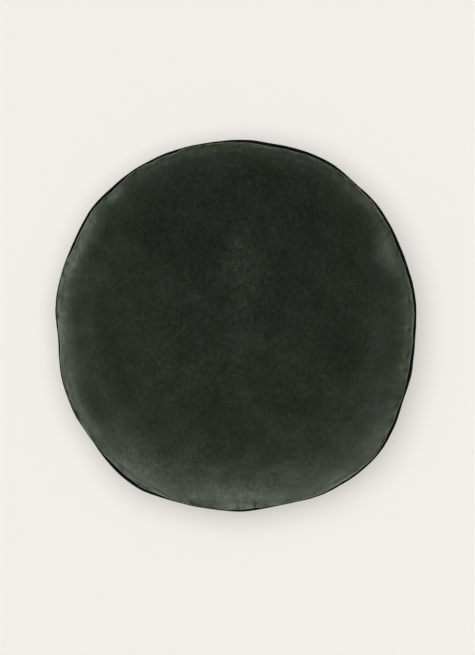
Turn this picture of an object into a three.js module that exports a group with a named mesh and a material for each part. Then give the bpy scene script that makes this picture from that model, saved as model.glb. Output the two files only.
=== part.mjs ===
// A round scatter cushion that lies on its back: a filled velvet cover of two round panels, and the thin
// covered cord that is sewn between them all the way round the edge.
// Millimetres, +Z up out of the face, +Y towards the top of the face, angles anticlockwise from +X.
import * as THREE from "three";
import { ParametricGeometry } from "three/addons/geometries/ParametricGeometry.js";

// Outline of the filled cushion, out to the outer side of the cord
const MEAN_RADIUS = 236.7;
const TALLER = 3.7; // reach added at the top and bottom, and taken off at the sides
const SLANT_STRETCH = 3.3; // reach added on the four diagonals, where woven cloth gives most

// Heights above the surface
const SEAM_HEIGHT = 51;
const CROWN_HEIGHT = 118;

// Each panel's curve from its middle to the seam: its height falls as (1 - share ^ dome) ^ (1 / drop)
const FRONT_DOME = 2.35;
const FRONT_DROP = 1.75;
const BACK_DOME = 2.1;
const BACK_DROP = 1.7;
const FLAT_SHARE = 0.52; // share of the back that lies flat on the surface

// Cord in the seam, and the channel that the two panels form round it
const CORD_RADIUS = 2;
const CHANNEL_RADIUS = 2.5;
const BACK_GRIP = 110; // degrees round the cord from its outer side to the back panel's lip
const MOST_SHOWN = 3.4; // of the cord's width, seen from straight above
const MEAN_SHOWN = 1.3;
const ROLL = 1.5; // rise of the seam for each millimetre more of the cord that shows

// Course of the seam: at an angle, how far it reaches past the plain outline, and how much of the cord's
// width shows from straight above
const SEAM = [
  { at: 8, reach: 1.8, shows: 1.8 },
  { at: 25, reach: -1.9, shows: 2.8 },
  { at: 42, reach: -1.1, shows: 1 },
  { at: 49, reach: -2.4, shows: 0.8 },
  { at: 62, reach: 1.2, shows: 2.1 },
  { at: 78, reach: 0, shows: 2.8 },
  { at: 87, reach: 1.2, shows: 2.3 },
  { at: 100, reach: -0.5, shows: 0.6 },
  { at: 113, reach: -0.8, shows: 1.5 },
  { at: 123, reach: -1.8, shows: 0.8 },
  { at: 134, reach: -2, shows: 2.9 },
  { at: 140, reach: -0.7, shows: 1.8 },
  { at: 152, reach: -1.8, shows: 1.9 },
  { at: 161, reach: 0.4, shows: 0.2 },
  { at: 173, reach: 2.3, shows: 0.7 },
  { at: 184, reach: -1.4, shows: 0.9 },
  { at: 196, reach: 0.5, shows: 0.6 },
  { at: 210, reach: -1, shows: 0.1 },
  { at: 220, reach: -3.2, shows: 0.2 },
  { at: 229, reach: -0.2, shows: 2.5 },
  { at: 239, reach: 1.8, shows: 2.7 },
  { at: 249, reach: -0.5, shows: 0.7 },
  { at: 261, reach: -1.1, shows: 0.3 },
  { at: 271, reach: 0.3, shows: 1.6 },
  { at: 285, reach: -1.7, shows: 0.1 },
  { at: 297, reach: 2.3, shows: 0.5 },
  { at: 307, reach: 4.1, shows: 0.8 },
  { at: 316, reach: 5.3, shows: 1.2 },
  { at: 326, reach: 3.3, shows: 2.9 },
  { at: 336, reach: -0.3, shows: 1.5 },
  { at: 345, reach: 0.2, shows: 2.9 },
  { at: 356, reach: -0.1, shows: 1.6 },
];

// Puckers that run in from the seam, where it is gathered: how deep on the front and the back, and how long
const PUCKER_SPREAD = 2.4; // degrees to either side of its middle
const PUCKERS = [
  { at: 25, front: 2.2, back: 1.6, long: 60 },
  { at: 48, front: 2.6, back: 2.2, long: 55 },
  { at: 75, front: 1.4, back: 2.6, long: 45 },
  { at: 101, front: 1.6, back: 1.8, long: 50 },
  { at: 123, front: 1.8, back: 2.4, long: 60 },
  { at: 134, front: 2, back: 1.4, long: 70 },
  { at: 151, front: 3, back: 2.2, long: 90 },
  { at: 184, front: 2.6, back: 2.8, long: 70 },
  { at: 207, front: 1.4, back: 1.8, long: 50 },
  { at: 220, front: 3.4, back: 2.6, long: 60 },
  { at: 249, front: 1.6, back: 2.2, long: 45 },
  { at: 262, front: 3, back: 2, long: 45 },
  { at: 270, front: 3, back: 2.4, long: 50 },
  { at: 278, front: 2.6, back: 1.6, long: 45 },
  { at: 288, front: 2, back: 2.6, long: 50 },
  { at: 312, front: 1.2, back: 1.8, long: 55 },
  { at: 337, front: 2.6, back: 2, long: 65 },
  { at: 354, front: 1.6, back: 2.4, long: 50 },
];

// Steps of the mesh
const STATIONS = 144; // round the rim
const FRONT_RINGS = 12;
const BACK_RINGS = 9; // from the flat part out
const CHANNEL_STEPS = 6;
const CORD_SIDES = 8;

// Cloth colours
const velvet = new THREE.MeshStandardMaterial({ name: "velvet", color: 0x262b24, roughness: 0.95, metalness: 0 });
const cordCover = new THREE.MeshStandardMaterial({ name: "cord", color: 0x141513, roughness: 0.8, metalness: 0 });

// The seam table as one smooth closed curve of its columns
const closedRows = [...SEAM, { ...SEAM[0], at: SEAM[0].at + 360 }];
const seamCourse = new THREE.CubicInterpolant(
  closedRows.map((row) => row.at),
  closedRows.flatMap((row) => [row.reach, row.shows]),
  2,
);
seamCourse.settings = { endingStart: THREE.WrapAroundEnding, endingEnd: THREE.WrapAroundEnding };

// Where the middle of the cord runs at one turn round the rim, and how the front panel meets it
function seamAt(turn) {
  const angle = turn * 2 * Math.PI;
  const degrees = SEAM[0].at + THREE.MathUtils.euclideanModulo(turn * 360 - SEAM[0].at, 360);
  const [reach, shows] = seamCourse.evaluate(degrees);
  const shown = THREE.MathUtils.clamp(shows, 0, MOST_SHOWN);
  const plain = MEAN_RADIUS - TALLER * Math.cos(2 * angle) - SLANT_STRETCH * Math.cos(4 * angle);
  return {
    angle,
    degrees,
    middle: new THREE.Vector2(plain + reach - CORD_RADIUS, SEAM_HEIGHT + ROLL * (shown - MEAN_SHOWN)),
    frontGrip: THREE.MathUtils.radToDeg(Math.acos((CORD_RADIUS - shown) / CHANNEL_RADIUS)),
  };
}

// A point round the cord, in the plane that cuts the rim: x is out from the middle, y is up
function aroundCord(seam, grip, radius) {
  const turned = THREE.MathUtils.degToRad(grip);
  return new THREE.Vector2(Math.cos(turned), Math.sin(turned)).multiplyScalar(radius).add(seam.middle);
}

// How deep the panel is drawn in at a distance from the seam: most at a quarter of each pucker's length
function puckerDepth(seam, side, inward) {
  let depth = 0;
  for (const pucker of PUCKERS) {
    const off = THREE.MathUtils.euclideanModulo(seam.degrees - pucker.at + 180, 360) - 180;
    const along = Math.sqrt(Math.min(inward / pucker.long, 1));
    depth += pucker[side] * Math.exp(-((off / PUCKER_SPREAD) ** 2)) * Math.sin(Math.PI * along);
  }
  return depth;
}

// A panel's point at a share of the way from its middle to its lip, drawn in towards the filling by the puckers
function drawnIn(seam, side, lip, share, height, towards) {
  const depth = puckerDepth(seam, side, lip.x * (1 - share)) * Math.SQRT1_2;
  return new THREE.Vector2(lip.x * share - depth, height + towards * depth);
}

function frontPoint(seam, share) {
  const lip = aroundCord(seam, seam.frontGrip, CHANNEL_RADIUS);
  const rise = (1 - share ** FRONT_DOME) ** (1 / FRONT_DROP);
  return drawnIn(seam, "front", lip, share, THREE.MathUtils.lerp(lip.y, CROWN_HEIGHT, rise), -1);
}

function backPoint(seam, share) {
  const lip = aroundCord(seam, -BACK_GRIP, CHANNEL_RADIUS);
  const pastFlat = Math.max(share - FLAT_SHARE, 0) / (1 - FLAT_SHARE);
  const rise = 1 - (1 - pastFlat ** BACK_DOME) ** (1 / BACK_DROP);
  return drawnIn(seam, "back", lip, share, lip.y * rise, 1);
}

function channelPoint(seam, step) {
  return aroundCord(seam, THREE.MathUtils.lerp(360 - BACK_GRIP, seam.frontGrip, step), CHANNEL_RADIUS);
}

// Shares of the way out where a panel's rings lie, closer together towards the seam
function ringShares(rings, start) {
  return Array.from({ length: rings + 1 }, (_, ring) =>
    THREE.MathUtils.lerp(start, 1, Math.sin(((ring / rings) * Math.PI) / 2)),
  );
}

// The cover's section from the middle of the back, out and round the channel, to the middle of the front
const channelInner = Array.from({ length: CHANNEL_STEPS - 1 }, (_, step) => (step + 1) / CHANNEL_STEPS);
const coverRows = [
  ...[0, FLAT_SHARE / 2, ...ringShares(BACK_RINGS, FLAT_SHARE)].map((share) => (seam) => backPoint(seam, share)),
  ...channelInner.map((step) => (seam) => channelPoint(seam, step)),
  ...ringShares(FRONT_RINGS, 0)
    .reverse()
    .map((share) => (seam) => frontPoint(seam, share)),
];

// A closed surface swept round the rim: the section's point for each row, at each turn
function sweptRound(rows, pointOf) {
  const geometry = new ParametricGeometry(
    (turn, along, target) => {
      const seam = seamAt(turn);
      const point = pointOf(seam, along);
      target.set(point.x * Math.cos(seam.angle), point.x * Math.sin(seam.angle), point.y);
    },
    STATIONS,
    rows,
  );
  geometry.computeVertexNormals();
  return geometry;
}

function velvetCover() {
  const last = coverRows.length - 1;
  const geometry = sweptRound(last, (seam, along) => coverRows[Math.round(along * last)](seam));
  const cover = new THREE.Mesh(geometry, velvet);
  cover.name = "velvet_cover";
  return cover;
}

function edgePiping() {
  const geometry = sweptRound(CORD_SIDES, (seam, along) => aroundCord(seam, along * 360, CORD_RADIUS));
  const piping = new THREE.Mesh(geometry, cordCover);
  piping.name = "edge_piping";
  return piping;
}

// The whole cushion, its box centred on the origin and its flat back on the surface
const cushion = new THREE.Group();
cushion.name = "round_cushion";
cushion.add(velvetCover(), edgePiping());
const centre = new THREE.Box3().setFromObject(cushion).getCenter(new THREE.Vector3());
for (const piece of cushion.children) {
  piece.geometry.translate(-centre.x, -centre.y, 0);
}

export default cushion;
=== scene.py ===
"""A round scatter cushion in dark green velvet, with thin black piping in its seam, on a pale studio floor.

Lengths are metres. +Z is up out of the face, +Y is towards the top of the face, and a turn is a share of the
way round the rim, anticlockwise from +X.
"""

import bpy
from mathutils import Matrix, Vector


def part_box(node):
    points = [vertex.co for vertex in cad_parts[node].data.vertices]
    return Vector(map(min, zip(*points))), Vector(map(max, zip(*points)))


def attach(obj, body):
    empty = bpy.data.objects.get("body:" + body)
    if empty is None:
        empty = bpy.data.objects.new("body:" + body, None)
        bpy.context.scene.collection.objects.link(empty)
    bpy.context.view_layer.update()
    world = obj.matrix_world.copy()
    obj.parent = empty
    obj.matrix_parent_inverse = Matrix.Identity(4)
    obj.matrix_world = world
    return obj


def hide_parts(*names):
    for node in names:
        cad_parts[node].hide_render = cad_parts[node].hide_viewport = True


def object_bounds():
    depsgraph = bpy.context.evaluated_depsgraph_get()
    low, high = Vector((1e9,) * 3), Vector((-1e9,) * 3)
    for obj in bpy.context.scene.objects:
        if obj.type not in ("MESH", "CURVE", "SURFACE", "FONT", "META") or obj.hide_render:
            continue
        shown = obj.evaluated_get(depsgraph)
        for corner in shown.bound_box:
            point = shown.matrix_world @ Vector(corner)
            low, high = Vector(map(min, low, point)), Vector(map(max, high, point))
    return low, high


bl_info = {
    "name": "Round Velvet Cushion",
    "version": (1, 0, 0),
    "blender": (4, 5, 0),
    "location": "3D View > Sidebar > Cushion",
    "description": "Builds a filled round velvet cushion with piping in its seam, and a studio stage",
    "category": "Object",
}

import math

import bmesh
import bpy
import numpy as np
from bpy.props import FloatProperty, FloatVectorProperty, PointerProperty
from mathutils import Matrix, Vector, noise
from mathutils.bvhtree import BVHTree

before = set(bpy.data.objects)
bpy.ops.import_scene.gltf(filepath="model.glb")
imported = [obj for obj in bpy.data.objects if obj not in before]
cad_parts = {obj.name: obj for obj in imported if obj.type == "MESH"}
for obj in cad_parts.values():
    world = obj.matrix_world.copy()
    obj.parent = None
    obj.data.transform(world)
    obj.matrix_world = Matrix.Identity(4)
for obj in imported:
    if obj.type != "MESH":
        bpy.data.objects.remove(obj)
CAD_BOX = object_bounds()
COVER_NODE = "velvet_cover"
CORD_NODE = "edge_piping"
SEAM_LEVEL = sum(corner.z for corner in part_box(CORD_NODE)) / 2

# The CAD rim: how many stations it has, the radius of its channel and of the cord in it, how far from the
# cord's middle a point still belongs to the channel, and where the back panel's lip lies round the cord
CAD_STATIONS = 144
CAD_CHANNEL = 0.0025
CAD_CORD = 0.002
ON_CHANNEL = 0.0026
BACK_GRIP = math.radians(-110)

# How finely the rim's course is read here, the decimals at which two CAD points are one, and the rim's
# radius for patterns that run round it
COURSE_POINTS = 2880
POINT_DECIMALS = 6
RIM_RADIUS = 0.235

# A length too small to matter, which keeps a divisor off zero
TINY = 1e-6

# What sewing and the pile add to the plain rim: a little more room for the cord in its strip, a seam line
# that wanders, and a front edge that is ragged in short waves and strays in long ones
CHANNEL_RADIUS = 0.0026
WANDER = 0.0005
WANDER_LENGTH = 0.022
RAGGED = 0.0009
RAGGED_LENGTH = 0.007
STRAYING = 0.0007
STRAYING_LENGTH = 0.024

# Pile is combed back off the cord, least where no cord shows and fully where this much of it does, and then
# the cord shows by no less and no more than the last two widths
COMBED_BACK = 0.0009
COMBED_LEAST = 0.4
COMBED_FULLY = 0.001
LEAST_SHOWN = 0.0004
MOST_SHOWN = 0.004

# Levels at which noise is read, so that each unevenness has waves of its own
WANDER_OUT_LEVEL = 1.5
WANDER_UP_LEVEL = 4.5
RAGGED_LEVEL = 73.5
STRAYING_LEVEL = 41.5
LUMP_LEVEL = 11.3
BACK_GATHER_LEVEL = 3.0

# The stitches pull each panel in beside the seam: by how much at most, and how far up from its lip
EDGE_PULL = 0.0056
EDGE_RISE = 0.018

# The cover's mesh: vertices round the rim, rings of the channel, steps between a panel's rings from the seam
# inwards, and the narrowest that a face may be for its length
RIM_SIDES = 360
CHANNEL_RINGS = 5
FIRST_STEP = 0.0014
STEP_GROWTH = 0.22
LONGEST_STEP = 0.0068
NARROWEST = 0.55

# How the CAD surface is read: shares of the way out and turns round it, how far outside it a ray starts, and
# the share from which a point is at the lip
PROFILE_SHARES = 160
PROFILE_TURNS = 48
RAY_START = 0.01
AT_LIP = 0.9995

# Which part of the cover a vertex belongs to
FRONT, BACK, CHANNEL = 0.0, 1.0, 2.0

# Heights at which the two flat panels are cut, far apart so that their pile is not uneven in the same places
FRONT_LEVEL = 0.005
BACK_LEVEL = -0.3

# How the filled cover settles: cloth that is sewn shorter at the seam than it was cut, over soft filling
SETTLING_FRAMES = 8
CLOTH_QUALITY = 8
VERTEX_MASS = 0.05
PUSH_OF_FILLING = 0.3
HOLD_OF_FILLING = 0.36
BENDING = 0.3
MOST_MOVED = 0.009
WALL_LEAN = 0.3
CLOTH_THICKNESS = 0.0004
PILE_ROUNDS = 2
FLOOR_GAP = 0.001

# The simulation leaves the back a little above the floor, less so towards this share of its cloth
BACK_LIFT = 0.0018
LIFTED_REACH = 0.9
LIFTED_FADE = 0.2

# Where the seam gathers the cloth more than elsewhere, in degrees and as a share of the spare length
GATHERS = [
    dict(at=25, wide=9, more=0.15),
    dict(at=62, wide=7, more=0.07),
    dict(at=101, wide=8, more=0.1),
    dict(at=134, wide=8, more=0.15),
    dict(at=151, wide=9, more=0.17),
    dict(at=184, wide=8, more=0.12),
    dict(at=220, wide=8, more=0.15),
    dict(at=266, wide=13, more=0.3),
    dict(at=288, wide=7, more=0.15),
    dict(at=337, wide=9, more=0.15),
]

# Soft lumps of the filling under the cloth, which fade out towards the seam
LUMP_SIZE = 0.085
LUMP_HEIGHT = 0.0011
LUMP_FADE = 0.03

# Small gathers that run in from the seam, and how far in they are deepest
GATHER_WIDTH = 0.009
GATHER_DEPTH = 0.0022
GATHER_PEAK = 0.008
LEAST_DRAWN = 0.00001

# Lumps and gathers fade out where the back comes down onto the floor
FLAT_LEVEL = 0.002
FLAT_FADE = 0.02

# The piping's mesh, and the ripple, weave, roughness and faint shine of its folded strip
CORD_SIDES = 20
CORD_STEPS = 720
STRIP_RIPPLE = 0.00012
RIPPLE_SIZE = 0.013
WEAVE_HEIGHT = 0.0002
STRIP_ROUGHNESS = 0.9
STRIP_SHINE = 0.05

# The photograph's view, straight down on the face: its height in pixels, its scale at the seam, and the
# place on the cushion that is in its middle
FRAME_HEIGHT = 655
METRES_A_PIXEL = 0.00128
FRAME_CENTRE = (0.002, -0.0023)

# The camera's sensor in millimetres, and the studio's floor and backdrop
SENSOR = 36.0
FLOOR_SIZE = 9.0
BACKDROP = (0.888, 0.863, 0.823)

# Where each light comes from, in degrees: away from straight above, and anticlockwise from +X
OVERHEAD_FROM = dict(zenith=1.7, bearing=87)
WIDE_FROM = dict(zenith=8.4, bearing=131)

# What the pile's uneven tone, the painted sheen of brushed spots and the painted shade in creases add to the
# velvet's colour: greyer than the colour itself
PILE_TONE_AND_PAINTED_LIGHT = (0.0113, 0.0125, 0.0106)

# Uneven spots in each finish: their size, how far they stray from even, and how much finer detail they hold
SPOTS = {
    "clouds": dict(size=0.11, strength=1.4, detail=1.0),
    "blotches": dict(size=0.022, strength=0.8, detail=1.0),
    "streaks": dict(size=0.0044, strength=1.6, detail=2.0),
    "tufts": dict(size=0.0044, strength=1.7, detail=2.0),
    "fibres": dict(size=0.002, strength=1.3, detail=1.0),
    "greyer": dict(size=0.032, strength=1.4, detail=2.0),
    "bluer": dict(size=0.055, strength=1.5, detail=1.0),
    "weave": dict(size=0.0007, strength=0.8, detail=1.0),
    "wear": dict(size=0.012, strength=0.8, detail=2.0),
    "floor": dict(size=0.5, strength=0.01, detail=1.0),
}

# Streaks are longer along the nap, and tufts are read elsewhere than streaks so that the two never agree
NAP_SCALE = (1, 0.7, 1)
TUFTS_PLACE = (0, 0, 0.9)

# The hue is uneven beside the seam, and fades to even further in
HUE_NEAR = 0.03
HUE_FAR = 0.07

# At the seam the pile leans less and stands more upright than further in
LEAN_AT_SEAM = 0.7
LEAN_FADE = 0.022
UPRIGHT_AT_SEAM = 0.03
UPRIGHT_FADE = 0.02

# A soft spot: the shares of its size where it starts and ends to fade, and half how thick it is
SPOT_CORE = 0.2
SPOT_EDGE = 1.4
SPOT_THICKNESS = 0.1

# Where a hand brushed the pile: at an angle and a distance from the panel's middle, half how long it is
# round the rim and half how wide, and how far the pile lies over outwards. That lean tilts its sheen, and it
# also makes the colour lighter as a painted sheen, or darker where the value is below 0
BRUSHED_AND_PAINTED_SHEEN = [
    dict(at=88, out=0.074, long=0.026, wide=0.045, over=0.5),
    dict(at=72, out=0.02, long=0.036, wide=0.045, over=0.42),
    dict(at=20, out=0.084, long=0.028, wide=0.03, over=0.22),
    dict(at=203, out=0.106, long=0.052, wide=0.045, over=0.32),
    dict(at=295, out=0.06, long=0.03, wide=0.025, over=-0.2),
    dict(at=308, out=0.095, long=0.03, wide=0.026, over=-0.1),
    dict(at=347, out=0.145, long=0.045, wide=0.034, over=-0.36),
    dict(at=56, out=0.138, long=0.05, wide=0.048, over=-0.22),
    dict(at=32, out=0.16, long=0.028, wide=0.024, over=-0.14),
    dict(at=90, out=0.155, long=0.03, wide=0.034, over=-0.22),
    dict(at=80, out=0.192, long=0.05, wide=0.018, over=-0.2),
    dict(at=110, out=0.15, long=0.03, wide=0.026, over=-0.08),
    dict(at=131, out=0.128, long=0.05, wide=0.055, over=-0.26),
    dict(at=25, out=0.227, long=0.034, wide=0.02, over=0.38),
    dict(at=46, out=0.24, long=0.024, wide=0.012, over=0.15),
    dict(at=102, out=0.24, long=0.02, wide=0.012, over=0.14),
    dict(at=133, out=0.244, long=0.016, wide=0.011, over=0.4),
    dict(at=154, out=0.242, long=0.06, wide=0.014, over=0.32),
    dict(at=149, out=0.208, long=0.03, wide=0.016, over=-0.14),
    dict(at=181, out=0.214, long=0.05, wide=0.018, over=-0.18),
    dict(at=182, out=0.248, long=0.05, wide=0.01, over=0.3),
    dict(at=210, out=0.216, long=0.05, wide=0.02, over=-0.26),
    dict(at=237, out=0.212, long=0.045, wide=0.024, over=0.22),
    dict(at=256, out=0.176, long=0.03, wide=0.055, over=0.22),
    dict(at=268, out=0.222, long=0.05, wide=0.018, over=0.2),
    dict(at=269, out=0.248, long=0.035, wide=0.01, over=0.4),
    dict(at=293, out=0.194, long=0.045, wide=0.024, over=0.2),
    dict(at=312, out=0.238, long=0.026, wide=0.016, over=-0.1),
    dict(at=322, out=0.222, long=0.022, wide=0.014, over=0.04),
    dict(at=338, out=0.23, long=0.028, wide=0.022, over=-0.12),
    dict(at=353, out=0.222, long=0.034, wide=0.017, over=-0.15),
]

# Where the stitches pleat the velvet most: at an angle, half how long that is, and how deep the pleats are,
# which also sets how dark the painted shade in them is
PLEATED = [
    dict(at=36, long=0.03, deep=0.25),
    dict(at=136, long=0.03, deep=0.25),
    dict(at=252, long=0.012, deep=0.3),
    dict(at=273, long=0.03, deep=0.9),
]
PLEATS_ELSEWHERE = 0.08
PLEATED_REACH = 0.04

# The pleats: how far apart on a panel of this radius, how sharp, how much they tilt the pile, where they
# start, how far in they end, and how they bend
PANEL_RADIUS = 0.25
PLEAT_WIDTH = 0.007
PLEAT_SHARPNESS = 0.08
PLEAT_TILT = 0.5
PLEAT_START = 0.002
SHORTEST_PLEAT = 0.005
LONGEST_PLEAT = 0.026
LENGTHS_A_PLEAT = 0.4
BENDS_A_METRE = 70.0
PLEAT_BEND = 0.01

# The range that most values of a noise texture lie in
NOISE_LOW = 0.35
NOISE_HIGH = 0.65


def positions(mesh, field="co"):
    """The positions or normals of a mesh's vertices as rows of x, y, z."""
    values = np.empty(len(mesh.vertices) * 3)
    mesh.vertices.foreach_get(field, values)
    return values.reshape(-1, 3)


def set_positions(mesh, points):
    """Moves a mesh's vertices to rows of x, y, z."""
    mesh.vertices.foreach_set("co", np.asarray(points, np.float32).ravel())
    mesh.update()


def vertex_values(mesh, name):
    """A float attribute of a mesh's vertices."""
    values = np.empty(len(mesh.vertices))
    mesh.attributes[name].data.foreach_get("value", values)
    return values


def turns_of(away):
    """The turn of each point, given as rows from the middle."""
    return np.arctan2(away[:, 1], away[:, 0]) / math.tau % 1


def closed_course(values):
    """A smooth closed curve through evenly spaced values round the rim, as COURSE_POINTS even values."""
    return np.fft.irfft(np.fft.rfft(values), COURSE_POINTS) * COURSE_POINTS / len(values)


def uneven_course(length, level):
    """Values round the rim between about -1 and 1, in waves of one length. Each level gives other waves."""
    angles = np.arange(COURSE_POINTS) / COURSE_POINTS * math.tau
    flat = np.full(COURSE_POINTS, 0.0)
    places = np.column_stack((np.cos(angles), np.sin(angles), flat)) * RIM_RADIUS / length
    return np.array([noise.noise(Vector(place) + Vector((0, 0, level))) for place in places])


class SeamCourse:
    """The cord's middle line, and how far the front panel reaches round it, as the CAD pieces have them."""

    def __init__(self):
        cover, cord = (
            np.unique(positions(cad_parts[name].data).round(POINT_DECIMALS), axis=0)
            for name in (COVER_NODE, CORD_NODE)
        )
        self.crown = cover[cover[:, 2].argmax()]
        cord_radius, cord_station = self.stations(cord)
        cover_radius, cover_station = self.stations(cover)
        radius, height, grip = np.empty((3, CAD_STATIONS))
        for station in range(CAD_STATIONS):
            ring = cord_station == station
            radius[station] = cord_radius[ring].mean()
            height[station] = cord[ring, 2].mean()
            out = cover_radius[cover_station == station] - radius[station]
            up = cover[cover_station == station, 2] - height[station]
            lips = (np.hypot(out, up) < ON_CHANNEL) & (up > 0)
            grip[station] = np.arctan2(up, out)[lips].min()
        self.radius = closed_course(radius) + WANDER * uneven_course(WANDER_LENGTH, WANDER_OUT_LEVEL)
        self.height = closed_course(height) + WANDER * uneven_course(WANDER_LENGTH, WANDER_UP_LEVEL)
        self.grip = self.combed(closed_course(grip))

    def combed(self, grip):
        """Where the front panel's edge lies round the cord, once its pile is combed back and ragged."""
        shown = CAD_CORD - CAD_CHANNEL * np.cos(grip)
        shown += COMBED_BACK * np.interp(shown, (0, COMBED_FULLY), (COMBED_LEAST, 1))
        ragged = RAGGED * uneven_course(RAGGED_LENGTH, RAGGED_LEVEL)
        shown += ragged + STRAYING * uneven_course(STRAYING_LENGTH, STRAYING_LEVEL)
        return np.arccos((CAD_CORD - np.clip(shown, LEAST_SHOWN, MOST_SHOWN)) / CHANNEL_RADIUS)

    def stations(self, points):
        """Each point's distance from the crown in plan, and the CAD station that it belongs to."""
        away = points - self.crown
        station = np.round(turns_of(away) * CAD_STATIONS).astype(int) % CAD_STATIONS
        return np.hypot(away[:, 0], away[:, 1]), station

    def read(self, course, turns):
        """A course's value at each turn."""
        return np.interp(turns % 1, np.arange(COURSE_POINTS) / COURSE_POINTS, course, period=1)

    def round_cord(self, turns, grip, distance):
        """Points at an angle and distance round the cord's middle, in the planes that cut the rim."""
        radius = self.read(self.radius, turns) + distance * np.cos(grip)
        height = self.read(self.height, turns) + distance * np.sin(grip)
        angle = turns * math.tau
        across, along, _ = self.crown
        return np.column_stack((across + radius * np.cos(angle), along + radius * np.sin(angle), height))

    def lips(self, turns, side):
        """Points of the panel's edge where it meets the cord."""
        grip = self.read(self.grip, turns) if side == FRONT else np.full_like(turns, BACK_GRIP)
        return self.round_cord(turns, grip, CHANNEL_RADIUS)

    def channel(self, turns, along):
        """Points of the channel, from the front lip (0) to the back lip (1)."""
        grip = self.read(self.grip, turns)
        return self.round_cord(turns, grip + (BACK_GRIP + math.tau - grip) * along, CHANNEL_RADIUS)


class CadPanel:
    """One side of the CAD cover: its height at each place in plan, and the length of the cloth over it."""

    def __init__(self, course, side):
        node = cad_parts[COVER_NODE].data
        corners = [vertex.co for vertex in node.vertices]
        self.tree = BVHTree.FromPolygons(corners, [face.vertices for face in node.polygons])
        self.course = course
        self.side = side
        # Closer together towards the lip, where the surface curves most
        self.shares = np.linspace(0, 1, PROFILE_SHARES) ** 0.5
        self.arcs = self.mean_arcs()

    def heights(self, points):
        """The surface's height over each point in plan, seen from outside."""
        above = self.side == FRONT
        start = CAD_BOX[1].z + RAY_START if above else CAD_BOX[0].z - RAY_START
        way = Vector((0, 0, -1)) if above else Vector((0, 0, 1))
        found = [self.tree.ray_cast(Vector((x, y, start)), way)[0] for x, y, _ in points]
        return np.array([hit.z if hit else z for hit, (_, _, z) in zip(found, points)])

    def at_shares(self, turns, shares):
        """Surface points at a share of the way from the crown to the lip."""
        lips = self.course.lips(turns, self.side)
        points = self.course.crown + (lips - self.course.crown) * shares[:, None]
        points[:, 2] = lips[:, 2]
        inside = shares < AT_LIP
        points[inside, 2] = self.heights(points[inside])
        return points

    def mean_arcs(self):
        """The share of the cloth's length used up at each share of the way out, over the whole rim."""
        lengths = []
        for turn in np.arange(PROFILE_TURNS) / PROFILE_TURNS:
            points = self.at_shares(np.full(PROFILE_SHARES, turn), self.shares)
            steps = np.linalg.norm(np.diff(points, axis=0), axis=1)
            lengths.append(np.concatenate(([0], steps.cumsum())))
        mean = np.mean(lengths, axis=0)
        return mean / mean[-1]

    def at_arcs(self, turns, arcs):
        """Surface points at a share of the cloth's length from the crown to the lip."""
        return self.at_shares(turns, np.interp(arcs, self.arcs, self.shares))


def panel_rings(cut_radius):
    """(radius, sides) of a cut panel's rings from the seam in: closest at the seam, fewer sides inside."""
    rings = []
    radius, step, sides = cut_radius, FIRST_STEP, RIM_SIDES
    while radius > LONGEST_STEP:
        while math.tau * radius / sides < NARROWEST * step:
            sides //= 2
        rings.append((radius, sides))
        radius -= step
        step = min(step * (1 + STEP_GROWTH), LONGEST_STEP)
    return rings


def finished_mesh(bm, name):
    """A bmesh as a mesh, with its faces pointing outwards."""
    bmesh.ops.recalc_face_normals(bm, faces=bm.faces)
    mesh = bpy.data.meshes.new(name)
    bm.to_mesh(mesh)
    bm.free()
    return mesh


def add_ring(bm, layers, radius, sides, height, part, arc):
    """A circle whose vertices hold their turn, their share of the cloth's length and their part."""
    ring = bmesh.ops.create_circle(bm, segments=sides, radius=radius)["verts"]
    for vertex in ring:
        vertex[layers["turn"]] = math.atan2(vertex.co.y, vertex.co.x) / math.tau % 1
        vertex[layers["arc"]] = arc
        vertex[layers["part"]] = part
    bmesh.ops.translate(bm, verts=ring, vec=(0, 0, height))
    return ring


def ring_edges(ring):
    """The edges between a ring's own vertices."""
    members = set(ring)
    edges = {edge for vertex in ring for edge in vertex.link_edges if edge.other_vert(vertex) in members}
    return list(edges)


def bridge(bm, one, other):
    """Joins two rings with faces."""
    bmesh.ops.bridge_loops(bm, edges=ring_edges(one) + ring_edges(other))


def add_panel(bm, layers, cut_radius, height, part):
    """A flat round panel as rings, closed in the middle. Returns its outer ring."""
    rings = [
        add_ring(bm, layers, radius, sides, 0, part, radius / cut_radius)
        for radius, sides in panel_rings(cut_radius)
    ]
    for one, other in zip(rings, rings[1:]):
        bridge(bm, one, other)
    middle = bmesh.ops.contextual_create(bm, geom=ring_edges(rings[-1]))["faces"]
    centre = bmesh.ops.poke(bm, faces=middle)["verts"][0]
    centre[layers["part"]] = part
    whole = [centre, *(vertex for ring in rings for vertex in ring)]
    bmesh.ops.translate(bm, verts=whole, vec=(0, 0, height))
    return rings[0]


def cut_cover(cut_radius):
    """The cover as its two flat cut panels, joined by the channel's rings."""
    bm = bmesh.new()
    layers = {name: bm.verts.layers.float.new(name) for name in ("turn", "arc", "part")}
    edge = add_panel(bm, layers, cut_radius, FRONT_LEVEL, FRONT)
    back_edge = add_panel(bm, layers, cut_radius, BACK_LEVEL, BACK)
    for ring in range(1, CHANNEL_RINGS + 1):
        along = ring / (CHANNEL_RINGS + 1)
        level = FRONT_LEVEL + (BACK_LEVEL - FRONT_LEVEL) * along
        inner = add_ring(bm, layers, cut_radius, RIM_SIDES, level, CHANNEL, along)
        bridge(bm, edge, inner)
        edge = inner
    bridge(bm, edge, back_edge)
    return finished_mesh(bm, "velvet_cover_mesh")


def pulled_in(points, lips, crown):
    """Moves a panel's points towards the crown beside the seam, so that it leaves the cord at a slant."""
    away = (points - crown)[:, :2]
    rise = np.abs(points[:, 2] - lips[:, 2]) / EDGE_RISE
    out = np.hypot(*away.T)
    share = 1 - EDGE_PULL * rise * np.exp(1 - rise) / np.maximum(out, EDGE_PULL * 2)
    points[:, :2] = crown[:2] + away * share[:, None]
    return points


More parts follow.
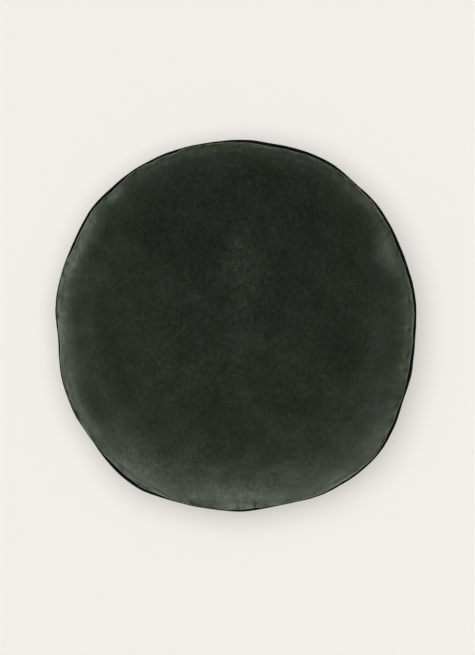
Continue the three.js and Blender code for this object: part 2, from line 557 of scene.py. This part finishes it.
def filled_shape(mesh, course):
    """Where each vertex of the cut cover lies on the filled CAD form."""
    turns, arcs, parts = (vertex_values(mesh, name) for name in ("turn", "arc", "part"))
    points = positions(mesh)
    for side in (FRONT, BACK):
        own = parts == side
        plain = CadPanel(course, side).at_arcs(turns[own], arcs[own])
        points[own] = pulled_in(plain, course.lips(turns[own], side), course.crown)
    own = parts == CHANNEL
    points[own] = course.channel(turns[own], arcs[own])
    return points


def gather_round(turns, spare):
    """The share of the cloth's spare length round the rim that stays in the cloth, by turn."""
    gather = np.full_like(turns, spare)
    for row in GATHERS:
        off = (turns * 360 - row["at"] + 180) % 360 - 180
        gather += row["more"] * np.exp(-((off / row["wide"]) ** 2))
    return np.minimum(gather, 1)


def sewn_lengths(mesh, points, course, spare):
    """The shape whose edges have the lengths that the cloth was cut to: as long as the filled cover from the
    middle to the seam, but longer round it, because a flat panel is wider than the filled one."""
    turns, arcs, parts = (vertex_values(mesh, name) for name in ("turn", "arc", "part"))
    even = np.arange(RIM_SIDES) / RIM_SIDES
    gather = gather_round(even, spare)
    out = np.hypot(*(points - course.crown)[:, :2].T)
    rest = points.copy()
    widened = []
    for side, way in ((FRONT, 1), (BACK, -1)):
        panel = np.flatnonzero(parts == side)
        rings = [panel[arcs[panel] == arc] for arc in np.unique(arcs[panel])]
        for ring in rings:
            ring[:] = ring[np.argsort(turns[ring])]
        radius, height = (
            np.array([np.interp(even, turns[ring], values[ring], period=1) for ring in rings])
            for values in (out, points[:, 2])
        )
        step = np.hypot(np.diff(radius, axis=0), np.diff(height, axis=0))
        along = np.vstack((np.zeros(RIM_SIDES), step.cumsum(axis=0)))
        wide = radius + gather * (along - radius)
        fall = np.sqrt(np.maximum(step**2 - np.diff(wide, axis=0) ** 2, 0))
        high = height[0] - way * np.vstack((np.zeros(RIM_SIDES), fall.cumsum(axis=0)))
        for ring, ring_wide, ring_high in zip(rings, wide, high):
            reach = np.interp(turns[ring], even, ring_wide, period=1)
            rest[ring, 0] = course.crown[0] + reach * np.cos(turns[ring] * math.tau)
            rest[ring, 1] = course.crown[1] + reach * np.sin(turns[ring] * math.tau)
            rest[ring, 2] = np.interp(turns[ring], even, ring_high, period=1)
        widened.append(wide[-1] - radius[-1])
    channel = np.flatnonzero(parts == CHANNEL)
    more = np.interp(turns[channel], even, np.mean(widened, axis=0), period=1)
    rest[channel, 0] += more * np.cos(turns[channel] * math.tau)
    rest[channel, 1] += more * np.sin(turns[channel] * math.tau)
    return rest


def settle(cover, points, rest):
    """The cloth settles over the filling with its seam held, in a short simulation. Returns its points."""
    mesh = cover.data
    arcs, parts = vertex_values(mesh, "arc"), vertex_values(mesh, "part")
    filled = cover.shape_key_add(name="filled")
    cut = cover.shape_key_add(name="cut")
    filled.data.foreach_set("co", points.astype(np.float32).ravel())
    cut.data.foreach_set("co", rest.astype(np.float32).ravel())
    held = cover.vertex_groups.new(name="held")
    seam = (parts == CHANNEL) | (arcs > AT_LIP)
    held.add(np.flatnonzero(seam).tolist(), 1, "REPLACE")
    held.add(np.flatnonzero(~seam).tolist(), HOLD_OF_FILLING, "REPLACE")

    # Cloth takes its rest lengths from a shape only on a mesh that another modifier hands on
    whole = cover.modifiers.new("whole", "EDGE_SPLIT")
    whole.use_edge_angle = False
    whole.use_edge_sharp = False
    cloth = cover.modifiers.new("cloth", "CLOTH")
    cloth.settings.quality = CLOTH_QUALITY
    cloth.settings.mass = VERTEX_MASS
    cloth.settings.bending_stiffness = BENDING
    cloth.settings.effector_weights.gravity = 0
    cloth.settings.vertex_group_mass = held.name
    cloth.settings.rest_shape_key = cut
    cloth.settings.use_pressure = True
    cloth.settings.uniform_pressure_force = PUSH_OF_FILLING
    cloth.settings.use_pressure_volume = True
    cloth.settings.target_volume = filled_volume(mesh, points)
    cloth.collision_settings.distance_min = FLOOR_GAP
    cloth.point_cache.frame_start = 1
    cloth.point_cache.frame_end = SETTLING_FRAMES

    bpy.ops.mesh.primitive_plane_add(size=1)
    ground = bpy.context.object
    ground.modifiers.new("hold", "COLLISION")
    ground.collision.thickness_outer = FLOOR_GAP
    for number in range(1, SETTLING_FRAMES + 1):
        bpy.context.scene.frame_set(number)
    settled = positions(cover.evaluated_get(bpy.context.evaluated_depsgraph_get()).data)
    bpy.context.scene.frame_set(1)

    cover.modifiers.clear()
    cover.shape_key_clear()
    cover.vertex_groups.clear()
    ground_mesh = ground.data
    bpy.data.objects.remove(ground)
    bpy.data.meshes.remove(ground_mesh)
    if not np.isfinite(settled).all():
        raise RuntimeError("the cloth simulation did not settle")
    return settled


def softened(mesh, moved):
    """Moves evened out with their neighbours', because pile rounds off the small creases of thin cloth."""
    ends = np.empty(len(mesh.edges) * 2, np.int32)
    mesh.edges.foreach_get("vertices", ends)
    one, other = ends.reshape(-1, 2).T
    neighbours = np.bincount(ends, minlength=len(moved))[:, None]
    for _ in range(PILE_ROUNDS):
        total = np.zeros_like(moved)
        np.add.at(total, one, moved[other])
        np.add.at(total, other, moved[one])
        moved = (moved + total / neighbours) / 2
    return moved


def drawn_into_seam(mesh, points, course):
    """The stitches draw both panels in, so that neither bulges out over the cord."""
    parts = vertex_values(mesh, "part")
    for side in (FRONT, BACK):
        own = parts == side
        away = points[own] - course.crown
        turns = turns_of(away)
        lips = course.lips(turns, side)
        reach = np.hypot(*(lips - course.crown)[:, :2].T)
        most = reach - WALL_LEAN * np.abs(points[own, 2] - lips[:, 2])
        out = np.hypot(away[:, 0], away[:, 1])
        share = np.minimum(most / np.maximum(out, TINY), 1)
        points[own, :2] = course.crown[:2] + away[:, :2] * share[:, None]
    return points


def filled_volume(mesh, points):
    """The volume inside the cover at these points."""
    set_positions(mesh, points)
    bm = bmesh.new()
    bm.from_mesh(mesh)
    volume = bm.calc_volume()
    bm.free()
    return volume


def rested_on_floor(mesh, points):
    """The back lies flat on the floor: its middle comes down onto it, and nothing goes through it."""
    arcs, parts = vertex_values(mesh, "arc"), vertex_values(mesh, "part")
    lifted = (parts == BACK) * np.clip((LIFTED_REACH - arcs) / LIFTED_FADE, 0, 1)
    points[:, 2] = np.maximum(points[:, 2] - BACK_LIFT * lifted, 0)
    return points


def keep_cloth_places(mesh, cut_points):
    """Stores each vertex's place on its flat cut panel and its distance from the seam, for the finish."""
    arcs, parts = vertex_values(mesh, "arc"), vertex_values(mesh, "part")
    place = mesh.attributes.new("cut", "FLOAT_VECTOR", "POINT")
    place.data.foreach_set("vector", cut_points.astype(np.float32).ravel())
    rim = mesh.attributes.new("rim", "FLOAT", "POINT")
    reach = np.abs(cut_points[:, :2]).max()
    rim.data.foreach_set("value", np.where(parts == CHANNEL, 0, (1 - arcs) * reach).astype(np.float32))
    for name in ("turn", "arc", "part"):
        mesh.attributes.remove(mesh.attributes[name])


def subdivided(cover):
    """Replaces an object's mesh by the same one subdivided once and shaded smooth."""
    smoother = cover.modifiers.new("smoother", "SUBSURF")
    smoother.levels = smoother.render_levels = 1
    smooth = bpy.data.meshes.new_from_object(cover.evaluated_get(bpy.context.evaluated_depsgraph_get()))
    coarse = cover.data
    cover.modifiers.clear()
    cover.data = smooth
    bpy.data.meshes.remove(coarse)
    smooth.name = cover.name + "_mesh"
    smooth.shade_smooth()


def small_gathers(points, rim):
    """How far small gathers draw the cloth in at each point: most a little way in from the seam."""
    inner = rim / GATHER_PEAK
    drawn = GATHER_DEPTH * (inner * np.exp(1 - inner)) ** 2
    for index in np.flatnonzero(drawn > LEAST_DRAWN):
        x, y, z = points[index]
        side = FRONT if z > SEAM_LEVEL else BACK
        place = Vector((x, y, 0)).normalized() * RIM_RADIUS / GATHER_WIDTH
        drawn[index] *= max(noise.noise(place + Vector((0, 0, BACK_GATHER_LEVEL * side))), 0)
    return drawn


def clear_of_channel(points, rim, course):
    """Keeps both panels outside the channel, by the thickness of the cloth."""
    away = points - course.crown
    turns = turns_of(away)
    out = np.hypot(away[:, 0], away[:, 1])
    cord = course.read(course.radius, turns)
    height = course.read(course.height, turns)
    least = CHANNEL_RADIUS + np.minimum(rim, CLOTH_THICKNESS)
    push = np.maximum(least / np.hypot(out - cord, points[:, 2] - height), 1)
    panel = rim > TINY
    push, out, cord, height = push[panel], out[panel], cord[panel], height[panel]
    share = (cord + (out - cord) * push) / np.maximum(out, TINY)
    points[panel, :2] = course.crown[:2] + away[panel, :2] * share[:, None]
    points[panel, 2] = height + (points[panel, 2] - height) * push
    return points


def add_unevenness(mesh, course):
    """Presses the filling's soft lumps into the cloth, and draws small gathers in along the seam."""
    points = positions(mesh)
    rim = vertex_values(mesh, "rim")
    level = Vector((0, 0, LUMP_LEVEL))
    lift = np.array([noise.noise(Vector(point) / LUMP_SIZE + level) for point in points])
    lift *= LUMP_HEIGHT * np.clip(rim / LUMP_FADE, 0, 1)
    off_floor = np.clip((points[:, 2] - FLAT_LEVEL) / FLAT_FADE, 0, 1)
    lift = (lift - small_gathers(points, rim)) * off_floor
    uneven = points + positions(mesh, "normal") * lift[:, None]
    set_positions(mesh, clear_of_channel(uneven, rim, course))


def finish_piece(piece, node, material):
    """Declares a finished piece: it rides on the cushion, stands for its CAD node and takes its finish."""
    piece.data.materials.append(material)
    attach(piece, "root")
    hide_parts(node)


def add_object(name, mesh):
    """A new object in the scene, from a mesh, light or camera."""
    made = bpy.data.objects.new(name, mesh)
    bpy.context.scene.collection.objects.link(made)
    return made


def make_cover(values):
    """The two velvet panels, sewn and filled."""
    course = SeamCourse()
    mesh = cut_cover(values.cut_width / 2)
    cut_points = positions(mesh)
    points = filled_shape(mesh, course)
    cover = add_object("velvet_cushion", mesh)
    settled = settle(cover, points, sewn_lengths(mesh, points, course, values.spare_length))
    moved = softened(mesh, settled - points)
    far = np.maximum(np.linalg.norm(moved, axis=1, keepdims=True) / MOST_MOVED, 1)
    points = drawn_into_seam(mesh, points + moved / far, course)
    set_positions(mesh, rested_on_floor(mesh, points))
    keep_cloth_places(mesh, cut_points)
    subdivided(cover)
    add_unevenness(cover.data, course)
    finish_piece(cover, COVER_NODE, velvet_finish(values))


def cord_ring(radius):
    """A ring of cord one metre in radius round Z, made by spinning its round section."""
    bm = bmesh.new()
    section = bmesh.ops.create_circle(bm, segments=CORD_SIDES, radius=radius)["verts"]
    bmesh.ops.rotate(bm, verts=section, cent=(0, 0, 0), matrix=Matrix.Rotation(math.pi / 2, 3, "X"))
    bmesh.ops.translate(bm, verts=section, vec=(1, 0, 0))
    bmesh.ops.spin(
        bm,
        geom=list(bm.verts) + list(bm.edges),
        cent=(0, 0, 0),
        axis=(0, 0, 1),
        angle=math.tau,
        steps=CORD_STEPS,
        use_merge=True,
    )
    return finished_mesh(bm, "seam_piping_mesh")


def make_piping(values):
    """The cord in its folded strip, as a closed ring in the seam."""
    course = SeamCourse()
    radius = values.width / 2
    mesh = cord_ring(radius)
    points = positions(mesh)
    turns = turns_of(points)
    grip = np.arctan2(points[:, 2], np.hypot(points[:, 0], points[:, 1]) - 1)
    plain = course.round_cord(turns, grip, radius)
    ripple = np.array([noise.noise(Vector(point) / RIPPLE_SIZE) for point in plain])
    set_positions(mesh, course.round_cord(turns, grip, radius + STRIP_RIPPLE * ripple))
    mesh.shade_smooth()
    finish_piece(add_object("seam_piping", mesh), CORD_NODE, strip_finish(values))


def add_node(tree, kind, inputs=None, **settings):
    """A shader node with its settings, and its inputs as values or as the sockets that feed them."""
    made = tree.nodes.new("ShaderNode" + kind)
    for name, value in settings.items():
        setattr(made, name, value)
    for socket, value in (inputs or {}).items():
        if isinstance(value, bpy.types.NodeSocket):
            tree.links.new(value, made.inputs[socket])
        else:
            made.inputs[socket].default_value = value
    return made


def maths(tree, operation, *values):
    """The result of a Math node."""
    return add_node(tree, "Math", dict(enumerate(values)), operation=operation).outputs[0]


def vector_maths(tree, operation, *values):
    """The result of a Vector Math node."""
    return add_node(tree, "VectorMath", dict(enumerate(values)), operation=operation).outputs[0]


def product(tree, first, *others):
    """Numbers multiplied together."""
    for other in others:
        first = maths(tree, "MULTIPLY", first, other)
    return first


def scaled(tree, vector, scale):
    """A vector or colour times a number."""
    return add_node(tree, "VectorMath", {0: vector, "Scale": scale}, operation="SCALE").outputs[0]


def smooth_range(tree, value, start, end, first, last):
    """A soft step: `first` where the value is `start` or less, `last` where it is `end` or more."""
    ends = {"Value": value, "From Min": start, "From Max": end, "To Min": first, "To Max": last}
    return add_node(tree, "MapRange", ends, interpolation_type="SMOOTHSTEP").outputs[0]


def mottle_group():
    """An uneven factor around 1, in soft spots of one size: for pile, cloth and dye."""
    if "mottle" in bpy.data.node_groups:
        return bpy.data.node_groups["mottle"]
    group = bpy.data.node_groups.new("mottle", "ShaderNodeTree")
    sockets = group.interface
    sockets.new_socket(name="Place", in_out="INPUT", socket_type="NodeSocketVector")
    sockets.new_socket(name="Size", in_out="INPUT", socket_type="NodeSocketFloat")
    sockets.new_socket(name="Detail", in_out="INPUT", socket_type="NodeSocketFloat")
    sockets.new_socket(name="Strength", in_out="INPUT", socket_type="NodeSocketFloat")
    sockets.new_socket(name="Factor", in_out="OUTPUT", socket_type="NodeSocketFloat")
    taken = group.nodes.new("NodeGroupInput").outputs
    finer = maths(group, "DIVIDE", 1.0, taken["Size"])
    noisy = {"Vector": taken["Place"], "Scale": finer, "Detail": taken["Detail"]}
    even = maths(group, "SUBTRACT", add_node(group, "TexNoise", noisy).outputs[0], 0.5)
    strong = maths(group, "MULTIPLY", even, taken["Strength"])
    given = group.nodes.new("NodeGroupOutput").inputs
    group.links.new(maths(group, "ADD", strong, 1.0), given["Factor"])
    return group


def mottle(tree, place, kind, within=None):
    """Spots of one kind over a surface, as a factor around 1: within a mask, or all over."""
    row = SPOTS[kind]
    strength = row["strength"] if within is None else product(tree, within, row["strength"])
    inputs = {"Place": place, "Size": row["size"], "Detail": row["detail"], "Strength": strength}
    return add_node(tree, "Group", inputs, node_tree=mottle_group()).outputs["Factor"]


def new_material(name):
    """An empty node material with its shader joined to its output."""
    material = bpy.data.materials.new(name)
    material.use_nodes = True
    tree = material.node_tree
    tree.nodes.clear()
    shader = add_node(tree, "BsdfPrincipled")
    add_node(tree, "OutputMaterial", {"Surface": shader.outputs[0]})
    return material, tree, shader


def spot_at(tree, place, at, out, long, wide):
    """A soft oval spot on the cut front panel: 1 in its middle and 0 outside."""
    angle = math.radians(at)
    oval = {
        "Vector": place,
        "Location": (out * math.cos(angle), out * math.sin(angle), FRONT_LEVEL),
        "Rotation": (0, 0, angle),
        "Scale": (wide, long, SPOT_THICKNESS),
    }
    spot = add_node(tree, "Mapping", oval, vector_type="TEXTURE").outputs[0]
    away = add_node(tree, "VectorMath", {0: spot}, operation="LENGTH").outputs["Value"]
    return smooth_range(tree, away, SPOT_CORE, SPOT_EDGE, 1, 0)


def brushed_pile(tree, place, lean, uneven, rim):
    """Which way the pile lies, and a painted sheen: how much lighter or darker its colour is made where a
    hand brushed it over.
    """
    further_in = smooth_range(tree, rim, 0, LEAN_FADE, LEAN_AT_SEAM, 1)
    upright = smooth_range(tree, rim, 0, UPRIGHT_FADE, UPRIGHT_AT_SEAM, 0)
    lies = scaled(tree, lean, product(tree, uneven, further_in))
    lies = vector_maths(tree, "ADD", lies, scaled(tree, (0, 0, 1), upright))
    outwards = vector_maths(tree, "MULTIPLY", place, (1 / RIM_RADIUS, 1 / RIM_RADIUS, 0))
    over = 0.0
    for row in BRUSHED_AND_PAINTED_SHEEN:
        spot = spot_at(tree, place, row["at"], row["out"], row["long"], row["wide"])
        over = maths(tree, "ADD", over, maths(tree, "MULTIPLY", spot, row["over"]))
    over = maths(tree, "MULTIPLY", over, uneven)
    # The second value is a painted sheen: lighter colour where the pile lies over, darker where it lies back
    return vector_maths(tree, "ADD", lies, scaled(tree, outwards, over)), maths(tree, "ADD", over, 1.0)


def pleats(tree, place, rim):
    """Short fine creases that run in from the seam, none quite straight: 1 in a crease and 0 between."""
    pleats_round = PANEL_RADIUS / PLEAT_WIDTH
    lengths_round = pleats_round * LENGTHS_A_PLEAT
    bends = add_node(tree, "TexNoise", {"Vector": place, "Scale": BENDS_A_METRE, "Detail": 1.0})
    bent = vector_maths(tree, "ADD", place, scaled(tree, bends.outputs["Color"], PLEAT_BEND))
    way = vector_maths(tree, "NORMALIZE", vector_maths(tree, "MULTIPLY", bent, (1, 1, 0)))
    across = add_node(tree, "TexNoise", {"Vector": way, "Scale": pleats_round, "Detail": 1.0}).outputs[0]
    beside = maths(tree, "ABSOLUTE", maths(tree, "SUBTRACT", across, 0.5))
    crease = smooth_range(tree, beside, 0, PLEAT_SHARPNESS, 1, 0)
    length = add_node(tree, "TexNoise", {"Vector": way, "Scale": lengths_round, "Detail": 2.0}).outputs[0]
    ends = smooth_range(tree, length, NOISE_LOW, NOISE_HIGH, SHORTEST_PLEAT, LONGEST_PLEAT)
    depth = PLEATS_ELSEWHERE
    for row in PLEATED:
        spot = spot_at(tree, place, row["at"], RIM_RADIUS, row["long"], PLEATED_REACH)
        depth = maths(tree, "ADD", depth, maths(tree, "MULTIPLY", spot, row["deep"]))
    return product(tree, crease, depth, smooth_range(tree, rim, PLEAT_START, ends, 1, 0))


def velvet_finish(values):
    """Short dense pile: dark and matt face on, with a pale sheen where it is seen edge on."""
    material, tree, shader = new_material("velvet_pile")
    place = add_node(tree, "Attribute", attribute_name="cut").outputs["Vector"]
    rim = add_node(tree, "Attribute", attribute_name="rim").outputs["Fac"]
    along_nap = add_node(tree, "Mapping", {"Vector": place, "Scale": NAP_SCALE}).outputs[0]
    elsewhere = vector_maths(tree, "ADD", along_nap, TUFTS_PLACE)
    uneven = product(tree, mottle(tree, place, "clouds"), mottle(tree, place, "blotches"))
    streaks = mottle(tree, along_nap, "streaks")
    tufts = mottle(tree, elsewhere, "tufts")
    fibres = mottle(tree, along_nap, "fibres")
    lies, painted_sheen = brushed_pile(tree, place, tuple(values.pile_lean), product(tree, uneven, streaks), rim)
    creases = pleats(tree, place, rim)

    near_rim = smooth_range(tree, rim, HUE_NEAR, HUE_FAR, 1, 0)
    greyer = mottle(tree, place, "greyer", near_rim)
    bluer = mottle(tree, place, "bluer", near_rim)
    hue = add_node(tree, "CombineXYZ", {0: greyer, 1: 1.0, 2: product(tree, greyer, bluer)}).outputs[0]
    # Painted sheen: the brushed spots make the colour lighter or darker. Clouds, blotches, tufts and fibres
    # are the pile's own uneven tone
    pale = product(tree, uneven, tufts, fibres, painted_sheen)
    # Painted shade: the colour is darkened along the creases
    shade = maths(tree, "SUBTRACT", pale, maths(tree, "ADD", creases, 1.0))
    colour = vector_maths(tree, "ADD", tuple(values.colour), scaled(tree, PILE_TONE_AND_PAINTED_LIGHT, shade))
    tree.links.new(vector_maths(tree, "MULTIPLY", colour, hue), shader.inputs["Base Color"])

    surface = add_node(tree, "NewGeometry").outputs["Normal"]
    lies = vector_maths(tree, "ADD", lies, scaled(tree, (0, 0, PLEAT_TILT), creases))
    leaning = vector_maths(tree, "NORMALIZE", vector_maths(tree, "ADD", surface, lies))
    height = maths(tree, "SUBTRACT", fibres, creases)
    pile = add_node(tree, "Bump", {"Height": height, "Distance": values.pile_height, "Normal": leaning})
    tree.links.new(pile.outputs[0], shader.inputs["Normal"])
    shader.inputs["Roughness"].default_value = 1
    shader.inputs["Specular IOR Level"].default_value = 0
    shader.inputs["Sheen Weight"].default_value = values.sheen
    shader.inputs["Sheen Roughness"].default_value = values.sheen_spread
    shader.inputs["Sheen Tint"].default_value = (*values.sheen_colour, 1)
    return material


def strip_finish(values):
    """The piping's black woven strip."""
    material, tree, shader = new_material("piping_strip")
    place = add_node(tree, "TexCoord").outputs["Object"]
    weave = mottle(tree, place, "weave")
    uneven = product(tree, weave, mottle(tree, place, "wear"))
    tree.links.new(scaled(tree, tuple(values.colour), uneven), shader.inputs["Base Color"])
    bump = add_node(tree, "Bump", {"Height": weave, "Distance": WEAVE_HEIGHT})
    tree.links.new(bump.outputs[0], shader.inputs["Normal"])
    shader.inputs["Roughness"].default_value = STRIP_ROUGHNESS
    shader.inputs["Specular IOR Level"].default_value = STRIP_SHINE
    return material


def stage_finish(values):
    """A plain pale studio floor."""
    material, tree, shader = new_material("studio_floor")
    place = add_node(tree, "TexCoord").outputs["Object"]
    colour = scaled(tree, tuple(values.floor_colour), mottle(tree, place, "floor"))
    tree.links.new(colour, shader.inputs["Base Color"])
    shader.inputs["Roughness"].default_value = 1
    shader.inputs["Specular IOR Level"].default_value = 0
    return material


def add_sun(name, strength, spread, coming_from):
    """A distant soft light."""
    light = bpy.data.lights.new(name, "SUN")
    light.energy = strength
    light.angle = spread
    sun = add_object(name, light)
    sun.rotation_euler = (0, math.radians(coming_from["zenith"]), math.radians(coming_from["bearing"]))


def add_dome(strength):
    """Even light from all sides, seen by the camera as a pale backdrop."""
    world = bpy.data.worlds.new("studio_dome")
    world.use_nodes = True
    tree = world.node_tree
    tree.nodes.clear()
    light = add_node(tree, "Background", {"Color": (1, 1, 1, 1), "Strength": strength})
    backdrop = add_node(tree, "Background", {"Color": (*BACKDROP, 1), "Strength": 1.0})
    seen = add_node(tree, "LightPath").outputs["Is Camera Ray"]
    mixed = add_node(tree, "MixShader", {0: seen, 1: light.outputs[0], 2: backdrop.outputs[0]})
    add_node(tree, "OutputWorld", {"Surface": mixed.outputs[0]})
    bpy.context.scene.world = world


def add_camera(lens):
    """A camera straight above the face, at the distance that gives the photograph's scale at the seam."""
    data = bpy.data.cameras.new("camera")
    data.lens = lens
    data.sensor_width = SENSOR
    height_seen = FRAME_HEIGHT * METRES_A_PIXEL
    camera = add_object("camera", data)
    camera.location = (*FRAME_CENTRE, SEAM_LEVEL + height_seen * lens / SENSOR)
    bpy.context.scene.camera = camera


def make_stage(values):
    """The floor, the lights and the camera."""
    bpy.ops.mesh.primitive_plane_add(size=FLOOR_SIZE)
    floor = bpy.context.object
    floor.name = "studio_floor"
    floor.data.materials.append(stage_finish(values))
    add_sun("overhead_light", values.overhead, values.overhead_spread, OVERHEAD_FROM)
    add_sun("wide_light", values.wide, values.wide_spread, WIDE_FROM)
    add_dome(values.dome)
    add_camera(values.lens)
    bpy.context.scene.view_settings.view_transform = "Standard"


class CushionCoverSettings(bpy.types.PropertyGroup):
    """Sizes and finish of the velvet cover."""

    cut_width: FloatProperty(
        name="Cut width",
        description="Width of each round panel before it is sewn and filled",
        default=0.5,
        min=0.48,
        max=0.52,
        unit="LENGTH",
    )
    spare_length: FloatProperty(
        name="Spare length",
        description="How much of the panels' spare length round the rim stays in the cloth as gathers",
        default=0.14,
        min=0,
        max=1,
        subtype="FACTOR",
    )
    fullness: FloatProperty(
        name="Fullness",
        description="How tightly the cover is filled, from slack to tight",
        default=0.8,
        min=0,
        max=1,
        subtype="FACTOR",
    )
    colour: FloatVectorProperty(
        name="Velvet colour",
        description="Colour of the pile seen face on",
        default=(0.0103, 0.0136, 0.0096),
        min=0,
        max=1,
        size=3,
        subtype="COLOR",
    )
    sheen: FloatProperty(
        name="Sheen",
        description="How strongly the pile catches light edge on",
        default=0.7,
        min=0,
        max=1,
        subtype="FACTOR",
    )
    sheen_spread: FloatProperty(
        name="Sheen spread",
        description="How far the sheen reaches in from the edge",
        default=0.5,
        min=0,
        max=1,
        subtype="FACTOR",
    )
    sheen_colour: FloatVectorProperty(
        name="Sheen colour",
        description="Colour of the light that the pile catches",
        default=(0.855, 1, 0.775),
        min=0,
        max=1,
        size=3,
        subtype="COLOR",
    )
    pile_lean: FloatVectorProperty(
        name="Pile lean",
        description="Which way the pile is brushed, and how far it leans",
        default=(-0.08, -0.28, 0),
        size=3,
        subtype="XYZ",
    )
    pile_height: FloatProperty(
        name="Pile height",
        description="Length of the pile that stands up unevenly",
        default=0.00025,
        min=0,
        max=0.002,
        precision=4,
        unit="LENGTH",
    )


class CushionPipingSettings(bpy.types.PropertyGroup):
    """Size and finish of the piping."""

    width: FloatProperty(
        name="Piping width",
        description="Width of the cord in its strip",
        default=0.0046,
        min=0.003,
        max=0.0048,
        unit="LENGTH",
    )
    colour: FloatVectorProperty(
        name="Piping colour",
        description="Colour of the woven strip",
        default=(0.0045, 0.0045, 0.0045),
        min=0,
        max=1,
        size=3,
        subtype="COLOR",
    )


class CushionStageSettings(bpy.types.PropertyGroup):
    """Floor colour, light strengths and lens of the studio."""

    floor_colour: FloatVectorProperty(
        name="Floor colour",
        description="Colour of the studio floor",
        default=(0.8, 0.778, 0.742),
        min=0,
        max=1,
        size=3,
        subtype="COLOR",
    )
    overhead: FloatProperty(
        name="Overhead light",
        description="Strength of the light from straight above",
        default=1.12,
        min=0,
    )
    overhead_spread: FloatProperty(
        name="Overhead spread",
        description="How wide the overhead light looks from the cushion",
        default=math.radians(10),
        min=0,
        max=math.pi,
        subtype="ANGLE",
    )
    wide: FloatProperty(
        name="Wide light",
        description="Strength of the large soft light above and to the upper left",
        default=2.18,
        min=0,
    )
    wide_spread: FloatProperty(
        name="Wide spread",
        description="How wide the large soft light looks from the cushion",
        default=math.radians(76),
        min=0,
        max=math.pi,
        subtype="ANGLE",
    )
    dome: FloatProperty(
        name="Dome light",
        description="Strength of the even light from all sides",
        default=0.064,
        min=0,
    )
    lens: FloatProperty(
        name="Lens",
        description="Focal length of the camera",
        default=100,
        min=20,
        unit="CAMERA",
    )


class CUSHION_OT_cover(bpy.types.Operator):
    """Make the filled velvet cover"""

    bl_idname = "cushion.cover"
    bl_label = "Velvet Cover"

    def execute(self, context):
        make_cover(context.scene.cushion_cover)
        return {"FINISHED"}


class CUSHION_OT_piping(bpy.types.Operator):
    """Make the piping in the cover's seam"""

    bl_idname = "cushion.piping"
    bl_label = "Seam Piping"

    def execute(self, context):
        make_piping(context.scene.cushion_piping)
        return {"FINISHED"}


class CUSHION_OT_stage(bpy.types.Operator):
    """Make the studio floor, lights and camera"""

    bl_idname = "cushion.stage"
    bl_label = "Studio Stage"

    def execute(self, context):
        make_stage(context.scene.cushion_stage)
        return {"FINISHED"}


class CUSHION_PT_parts(bpy.types.Panel):
    """The cushion's pieces and stage"""

    bl_idname = "CUSHION_PT_parts"
    bl_label = "Round Cushion"
    bl_space_type = "VIEW_3D"
    bl_region_type = "UI"
    bl_category = "Cushion"

    def draw(self, context):
        for section, (_, operator) in SECTIONS.items():
            box = self.layout.box()
            settings = getattr(context.scene, section)
            for name in settings.bl_rna.properties.keys():
                if name not in ("rna_type", "name"):
                    box.prop(settings, name)
            box.operator(operator.bl_idname)


# Each group of settings, with the operator that makes its pieces
SECTIONS = {
    "cushion_cover": (CushionCoverSettings, CUSHION_OT_cover),
    "cushion_piping": (CushionPipingSettings, CUSHION_OT_piping),
    "cushion_stage": (CushionStageSettings, CUSHION_OT_stage),
}
CLASSES = (*(made for section in SECTIONS.values() for made in section), CUSHION_PT_parts)


def register():
    for made in CLASSES:
        bpy.utils.register_class(made)
    for name, (group, _) in SECTIONS.items():
        setattr(bpy.types.Scene, name, PointerProperty(type=group))


def unregister():
    for name in SECTIONS:
        delattr(bpy.types.Scene, name)
    for made in reversed(CLASSES):
        bpy.utils.unregister_class(made)


def main():
    register()
    bpy.ops.cushion.stage()
    bpy.ops.cushion.cover()
    bpy.ops.cushion.piping()


if __name__ == "__main__":
    main()
